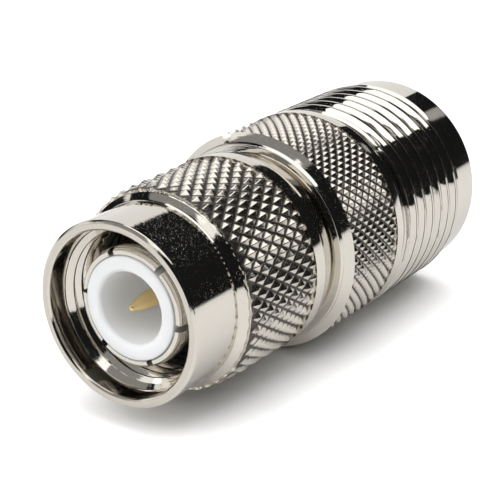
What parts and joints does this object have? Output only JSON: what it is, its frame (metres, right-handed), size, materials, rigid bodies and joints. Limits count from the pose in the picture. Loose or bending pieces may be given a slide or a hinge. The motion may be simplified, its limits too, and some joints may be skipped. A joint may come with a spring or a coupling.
{
  "type": "coaxial adapter",
  "caption": "Coaxial adapter: a screw-on plug with a knurled free-turning nut and slotted sleeve at one end, a larger threaded socket jack at the other.",
  "frame": {"origin": "centre of the jack's end face, on which the adapter stands", "axes": "+Z along the axis from the jack's end face to the plug's rim; +X and +Y are square to it, +X through one slot of the jack's centre socket"},
  "size_m": [0.016, 0.016, 0.0346],
  "materials": {
    "nickel_body": "bright nickel plate on brass",
    "nickel_nut": "bright nickel plate on brass",
    "nickel_sleeve": "satin nickel plate on brass",
    "spring_steel": "plain spring steel",
    "black_rubber": "matte",
    "white_insulator": "smooth waxy white",
    "gold_contact": "gold plate on brass"
  },
  "bodies": {
    "jack": {"jack_body": "nickel_body", "retaining_ring": "spring_steel", "nut_gasket": "black_rubber", "outer_contact": "nickel_sleeve", "plug_insulator": "white_insulator", "jack_insulator": "white_insulator", "pin_contact": "gold_contact", "socket_contact": "gold_contact"},
    "nut": {"coupling_nut": "nickel_nut"}
  },
  "joints": [
    {"name": "nut_spin", "type": "hinge", "parent": "jack", "child": "nut", "pos_m": [0, 0, 0.027], "axis": [0, 0, 1], "continuous": true}
  ]
}
